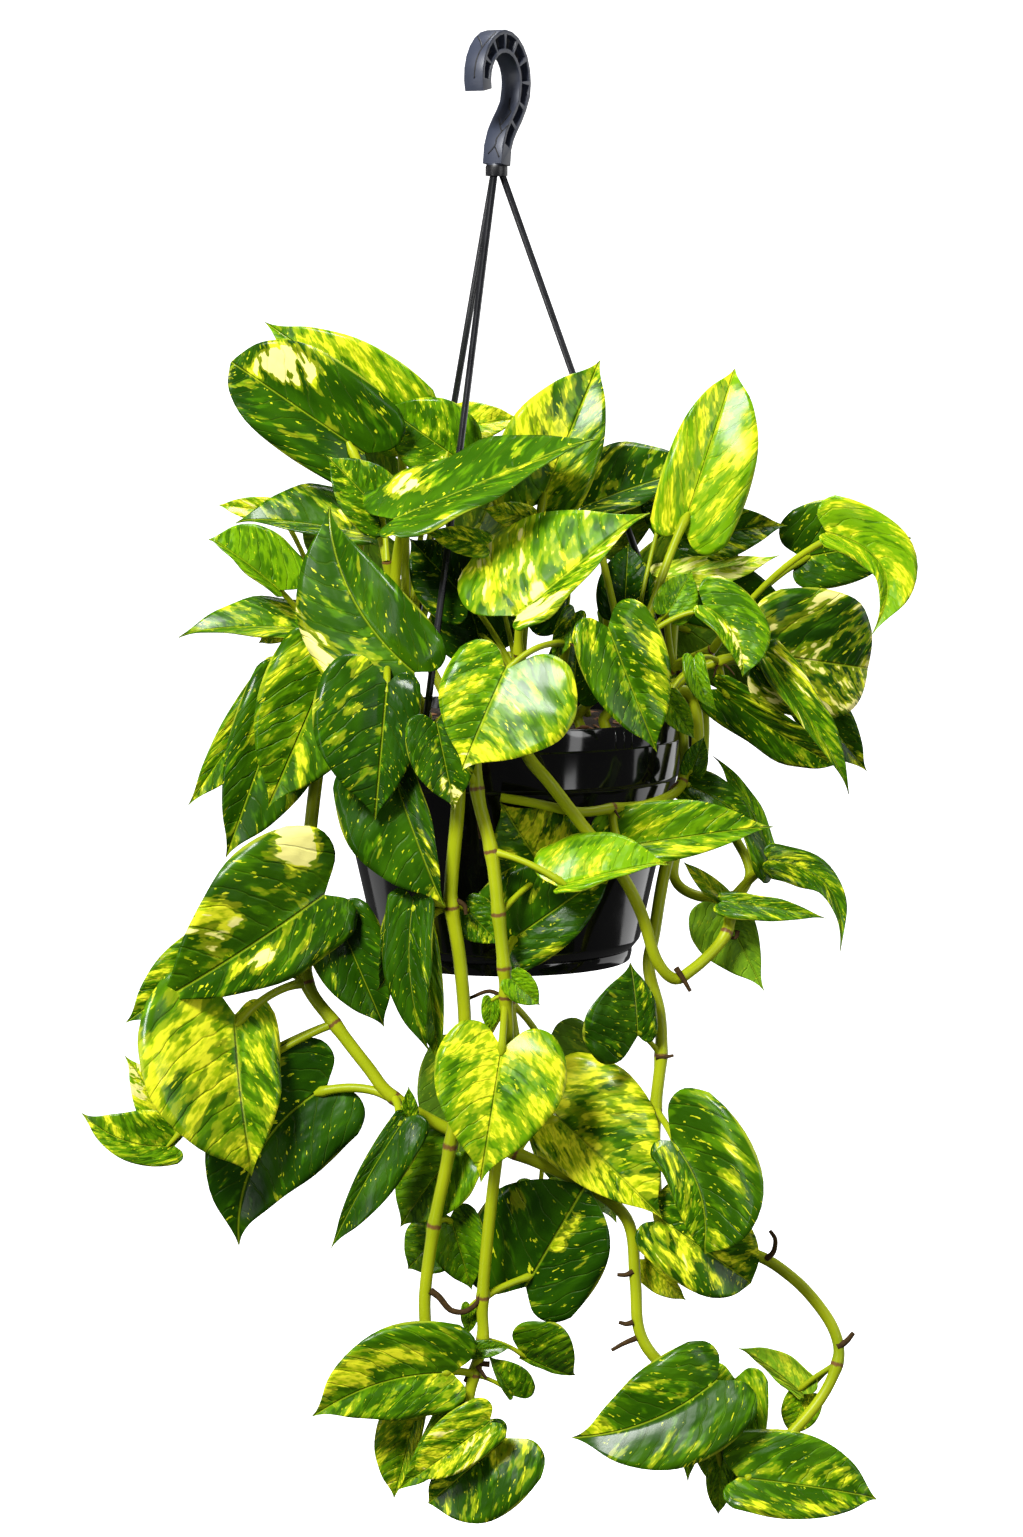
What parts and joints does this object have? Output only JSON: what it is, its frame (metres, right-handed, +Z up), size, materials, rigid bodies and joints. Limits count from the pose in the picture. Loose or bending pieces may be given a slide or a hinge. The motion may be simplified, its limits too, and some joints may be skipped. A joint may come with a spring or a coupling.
{
  "type": "potted plant",
  "caption": "Trailing golden pothos in a round black plastic hanging pot with a clip-on saucer, a plastic hook and straight straps to the rim.",
  "frame": {"origin": "the middle of the hook's saddle, the underside of its crown, where it hangs on a rail or bracket", "axes": "+Z up, -Y towards the side seen in the picture, +X to the right in the picture"},
  "size_m": [0.4507, 0.2829, 0.8017],
  "materials": {
    "hanger_plastic": "satin, dark blue-grey",
    "pot_plastic": "glossy black",
    "potting_mix": "rough, moist and brown, with bark",
    "foliage": "waxy, deep green with yellow and cream patches"
  },
  "bodies": {
    "root": {"hanger_hook": "hanger_plastic", "strap_right": "hanger_plastic", "strap_back_left": "hanger_plastic", "strap_front_left": "hanger_plastic", "pot": "pot_plastic", "saucer": "pot_plastic", "soil": "potting_mix", "vine_front_left": "foliage", "vine_front": "foliage", "vine_front_right": "foliage", "vine_right_long": "foliage", "vine_left_long": "foliage", "vine_across": "foliage", "vine_side_right": "foliage", "crown_left": "foliage", "crown_far_left": "foliage", "crown_left_front": "foliage", "crown_left_low": "foliage", "crown_centre": "foliage", "crown_right": "foliage", "crown_far_right": "foliage", "crown_front": "foliage", "crown_right_low": "foliage", "crown_back_right": "foliage", "crown_back_left": "foliage", "vine_back": "foliage", "vine_back_short": "foliage"}
  },
  "joints": []
}
